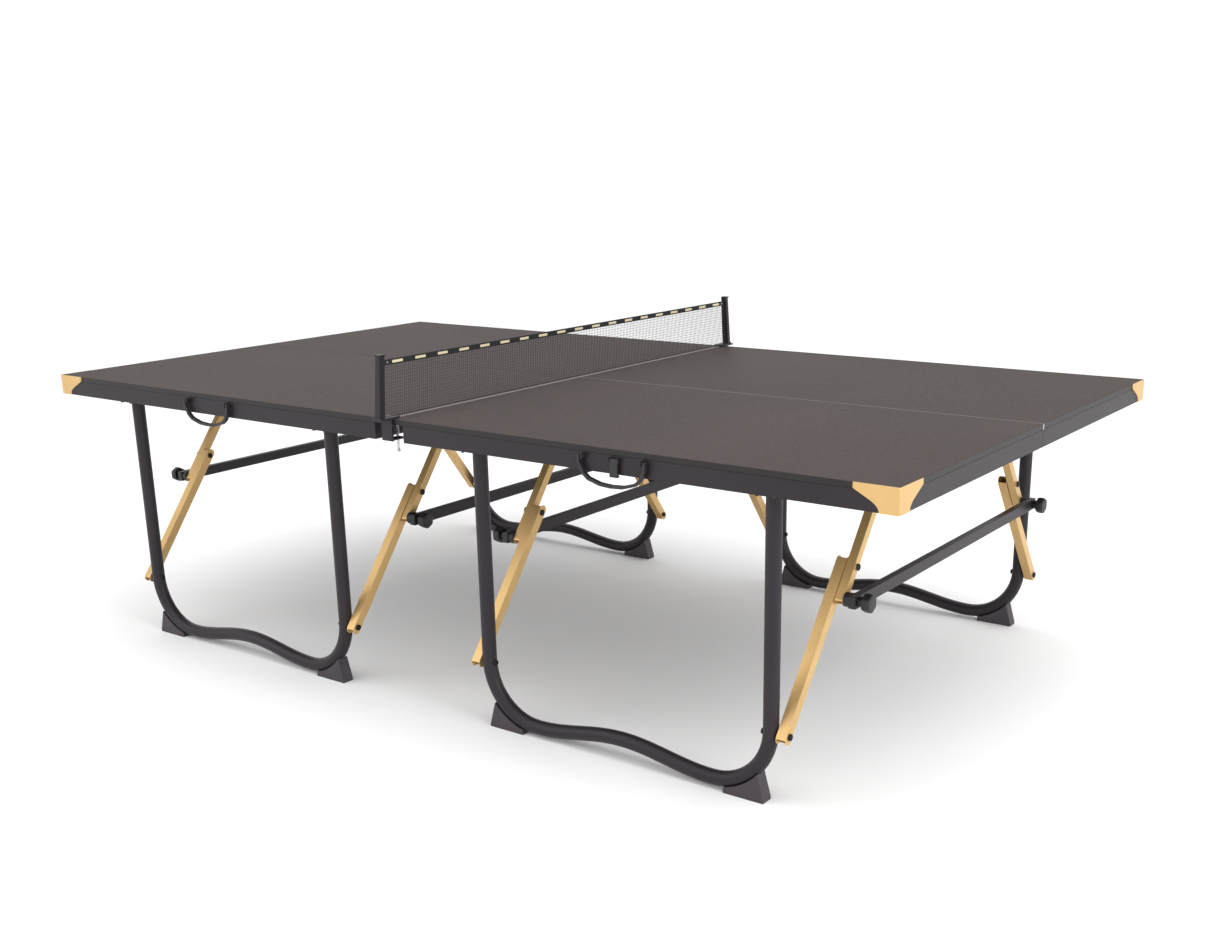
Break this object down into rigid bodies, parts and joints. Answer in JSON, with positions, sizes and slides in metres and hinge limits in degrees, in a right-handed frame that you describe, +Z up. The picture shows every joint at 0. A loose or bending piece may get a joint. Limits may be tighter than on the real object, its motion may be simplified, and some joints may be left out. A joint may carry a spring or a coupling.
{
  "type": "ping pong table",
  "caption": "Folding table for ping pong: hinged-leg halves with braces, crossbars and hand screws, carry handles and a clamp-on net.",
  "frame": {"origin": "on the floor, under the middle of the net", "axes": "+X along the table, towards the half with the latch, +Y across it, away from the side with the handles, +Z up"},
  "size_m": [2.7446, 1.602, 0.918],
  "materials": {
    "surface": "satin painted board, dark grey",
    "dark_steel": "satin charcoal powder coat",
    "gold_steel": "metallic gold paint",
    "foot_plastic": "matte",
    "knob_plastic": "fine grain, matte",
    "handle_plastic": "satin",
    "post_steel": "satin charcoal powder coat",
    "bright_steel": "zinc plated",
    "net_cord": "knotted cord with a dark top band"
  },
  "bodies": {
    "right_half": {"board_near_right": "surface", "rim_near_right": "dark_steel", "corner_guard_near_right": "gold_steel", "board_far_right": "surface", "rim_far_right": "dark_steel", "corner_guard_far_right": "gold_steel", "net_post_near": "post_steel", "net_post_far": "post_steel", "net": "net_cord"},
    "left_half": {"board_near_left": "surface", "rim_near_left": "dark_steel", "corner_guard_near_left": "gold_steel", "board_far_left": "surface", "rim_far_left": "dark_steel", "corner_guard_far_left": "gold_steel"},
    "legs_near_right": {"leg_frame_near_right": "dark_steel", "foot_near_right_end": "foot_plastic", "foot_near_right_net": "foot_plastic"},
    "upper_links_near_right": {"upper_link_near_right_end": "gold_steel", "upper_link_near_right_net": "gold_steel"},
    "lower_links_near_right": {"lower_link_near_right_end": "gold_steel", "lower_link_near_right_net": "gold_steel"},
    "legs_far_right": {"leg_frame_far_right": "dark_steel", "foot_far_right_end": "foot_plastic", "foot_far_right_net": "foot_plastic"},
    "upper_links_far_right": {"upper_link_far_right_end": "gold_steel", "upper_link_far_right_net": "gold_steel"},
    "lower_links_far_right": {"lower_link_far_right_end": "gold_steel", "lower_link_far_right_net": "gold_steel"},
    "legs_near_left": {"leg_frame_near_left": "dark_steel", "foot_near_left_end": "foot_plastic", "foot_near_left_net": "foot_plastic"},
    "upper_links_near_left": {"upper_link_near_left_end": "gold_steel", "upper_link_near_left_net": "gold_steel"},
    "lower_links_near_left": {"lower_link_near_left_end": "gold_steel", "lower_link_near_left_net": "gold_steel"},
    "legs_far_left": {"leg_frame_far_left": "dark_steel", "foot_far_left_end": "foot_plastic", "foot_far_left_net": "foot_plastic"},
    "upper_links_far_left": {"upper_link_far_left_end": "gold_steel", "upper_link_far_left_net": "gold_steel"},
    "lower_links_far_left": {"lower_link_far_left_end": "gold_steel", "lower_link_far_left_net": "gold_steel"},
    "crossbars_right": {"crossbar_right_end": "dark_steel", "crossbar_right_net": "dark_steel"},
    "crossbars_left": {"crossbar_left_end": "dark_steel", "crossbar_left_net": "dark_steel"},
    "hand_screw_near_right_end": {"hand_screw_near_right_end": "knob_plastic"},
    "hand_screw_near_right_net": {"hand_screw_near_right_net": "knob_plastic"},
    "hand_screw_far_right_end": {"hand_screw_far_right_end": "knob_plastic"},
    "hand_screw_far_right_net": {"hand_screw_far_right_net": "knob_plastic"},
    "hand_screw_near_left_end": {"hand_screw_near_left_end": "knob_plastic"},
    "hand_screw_near_left_net": {"hand_screw_near_left_net": "knob_plastic"},
    "hand_screw_far_left_end": {"hand_screw_far_left_end": "knob_plastic"},
    "hand_screw_far_left_net": {"hand_screw_far_left_net": "knob_plastic"},
    "carry_handle_right": {"carry_handle_right": "handle_plastic"},
    "carry_handle_left": {"carry_handle_left": "handle_plastic"},
    "latch": {"latch": "handle_plastic"},
    "clamp_screw_near": {"clamp_screw_near": "bright_steel"},
    "clamp_screw_far": {"clamp_screw_far": "bright_steel"}
  },
  "joints": [
    {"name": "halves_part", "type": "slide", "parent": "right_half", "child": "left_half", "axis": [-1, 0, 0], "range_m": [0, 0.3]},
    {"name": "leg_fold_near_right", "type": "hinge", "parent": "right_half", "child": "legs_near_right", "pos_m": [0.6635, -0.72, 0.713], "axis": [1, 0, 0], "range_deg": [0, 90]},
    {"name": "upper_links_turn_near_right", "type": "hinge", "parent": "right_half", "child": "upper_links_near_right", "pos_m": [0.6635, -0.3065, 0.713], "axis": [1, 0, 0], "range_deg": [-52.88, 0]},
    {"name": "lower_links_turn_near_right", "type": "hinge", "parent": "legs_near_right", "child": "lower_links_near_right", "pos_m": [0.6635, -0.72, 0.167], "axis": [1, 0, 0], "range_deg": [0, 37.14]},
    {"name": "leg_fold_far_right", "type": "hinge", "parent": "right_half", "child": "legs_far_right", "pos_m": [0.6635, 0.72, 0.713], "axis": [-1, 0, 0], "range_deg": [0, 90]},
    {"name": "upper_links_turn_far_right", "type": "hinge", "parent": "right_half", "child": "upper_links_far_right", "pos_m": [0.6635, 0.3065, 0.713], "axis": [-1, 0, 0], "range_deg": [-52.88, 0]},
    {"name": "lower_links_turn_far_right", "type": "hinge", "parent": "legs_far_right", "child": "lower_links_far_right", "pos_m": [0.6635, 0.72, 0.167], "axis": [-1, 0, 0], "range_deg": [0, 37.14]},
    {"name": "leg_fold_near_left", "type": "hinge", "parent": "left_half", "child": "legs_near_left", "pos_m": [-0.6635, -0.72, 0.713], "axis": [1, 0, 0], "range_deg": [0, 90]},
    {"name": "upper_links_turn_near_left", "type": "hinge", "parent": "left_half", "child": "upper_links_near_left", "pos_m": [-0.6635, -0.3065, 0.713], "axis": [1, 0, 0], "range_deg": [-52.88, 0]},
    {"name": "lower_links_turn_near_left", "type": "hinge", "parent": "legs_near_left", "child": "lower_links_near_left", "pos_m": [-0.6635, -0.72, 0.167], "axis": [1, 0, 0], "range_deg": [0, 37.14]},
    {"name": "leg_fold_far_left", "type": "hinge", "parent": "left_half", "child": "legs_far_left", "pos_m": [-0.6635, 0.72, 0.713], "axis": [-1, 0, 0], "range_deg": [0, 90]},
    {"name": "upper_links_turn_far_left", "type": "hinge", "parent": "left_half", "child": "upper_links_far_left", "pos_m": [-0.6635, 0.3065, 0.713], "axis": [-1, 0, 0], "range_deg": [-52.88, 0]},
    {"name": "lower_links_turn_far_left", "type": "hinge", "parent": "legs_far_left", "child": "lower_links_far_left", "pos_m": [-0.6635, 0.72, 0.167], "axis": [-1, 0, 0], "range_deg": [0, 37.14]},
    {"name": "crossbars_turn_right", "type": "hinge", "parent": "upper_links_near_right", "child": "crossbars_right", "pos_m": [0.6635, -0.52034, 0.43063], "axis": [1, 0, 0], "range_deg": [0, 40.88]},
    {"name": "crossbars_turn_left", "type": "hinge", "parent": "upper_links_near_left", "child": "crossbars_left", "pos_m": [-0.6635, -0.52034, 0.43063], "axis": [1, 0, 0], "range_deg": [0, 40.88]},
    {"name": "hand_screw_turn_near_right_end", "type": "hinge", "parent": "crossbars_right", "child": "hand_screw_near_right_end", "pos_m": [1.2031, -0.52034, 0.43063], "axis": [1, 0, 0], "continuous": true},
    {"name": "hand_screw_turn_near_right_net", "type": "hinge", "parent": "crossbars_right", "child": "hand_screw_near_right_net", "pos_m": [0.1239, -0.52034, 0.43063], "axis": [-1, 0, 0], "continuous": true},
    {"name": "hand_screw_turn_far_right_end", "type": "hinge", "parent": "crossbars_right", "child": "hand_screw_far_right_end", "pos_m": [1.2031, 0.52034, 0.43063], "axis": [1, 0, 0], "continuous": true},
    {"name": "hand_screw_turn_far_right_net", "type": "hinge", "parent": "crossbars_right", "child": "hand_screw_far_right_net", "pos_m": [0.1239, 0.52034, 0.43063], "axis": [-1, 0, 0], "continuous": true},
    {"name": "hand_screw_turn_near_left_end", "type": "hinge", "parent": "crossbars_left", "child": "hand_screw_near_left_end", "pos_m": [-1.2031, -0.52034, 0.43063], "axis": [-1, 0, 0], "continuous": true},
    {"name": "hand_screw_turn_near_left_net", "type": "hinge", "parent": "crossbars_left", "child": "hand_screw_near_left_net", "pos_m": [-0.1239, -0.52034, 0.43063], "axis": [1, 0, 0], "continuous": true},
    {"name": "hand_screw_turn_far_left_end", "type": "hinge", "parent": "crossbars_left", "child": "hand_screw_far_left_end", "pos_m": [-1.2031, 0.52034, 0.43063], "axis": [-1, 0, 0], "continuous": true},
    {"name": "hand_screw_turn_far_left_net", "type": "hinge", "parent": "crossbars_left", "child": "hand_screw_far_left_net", "pos_m": [-0.1239, 0.52034, 0.43063], "axis": [1, 0, 0], "continuous": true},
    {"name": "carry_handle_swing_right", "type": "hinge", "parent": "right_half", "child": "carry_handle_right", "pos_m": [0.688, -0.771, 0.7377], "axis": [-1, 0, 0], "range_deg": [0, 110]},
    {"name": "carry_handle_swing_left", "type": "hinge", "parent": "left_half", "child": "carry_handle_left", "pos_m": [-0.688, -0.771, 0.7377], "axis": [-1, 0, 0], "range_deg": [0, 110]},
    {"name": "latch_swing", "type": "hinge", "parent": "right_half", "child": "latch", "pos_m": [0.693, -0.7685, 0.7367], "axis": [-1, 0, 0], "range_deg": [0, 100]},
    {"name": "clamp_screw_turn_near", "type": "hinge", "parent": "right_half", "child": "clamp_screw_near", "pos_m": [0, -0.7335, 0.7], "axis": [0, 0, 1], "continuous": true},
    {"name": "clamp_screw_turn_far", "type": "hinge", "parent": "right_half", "child": "clamp_screw_far", "pos_m": [0, 0.7335, 0.7], "axis": [0, 0, 1], "continuous": true}
  ],
  "couplings": [
    {"joint": "upper_links_turn_near_right", "follows": "leg_fold_near_right", "ratio": -0.5874},
    {"joint": "lower_links_turn_near_right", "follows": "leg_fold_near_right", "ratio": 0.4126},
    {"joint": "upper_links_turn_far_right", "follows": "leg_fold_far_right", "ratio": -0.5874},
    {"joint": "lower_links_turn_far_right", "follows": "leg_fold_far_right", "ratio": 0.4126},
    {"joint": "upper_links_turn_near_left", "follows": "leg_fold_near_left", "ratio": -0.5874},
    {"joint": "lower_links_turn_near_left", "follows": "leg_fold_near_left", "ratio": 0.4126},
    {"joint": "upper_links_turn_far_left", "follows": "leg_fold_far_left", "ratio": -0.5874},
    {"joint": "lower_links_turn_far_left", "follows": "leg_fold_far_left", "ratio": 0.4126},
    {"joint": "crossbars_turn_right", "follows": "leg_fold_near_right", "ratio": 0.4541},
    {"joint": "crossbars_turn_left", "follows": "leg_fold_near_left", "ratio": 0.4541}
  ]
}
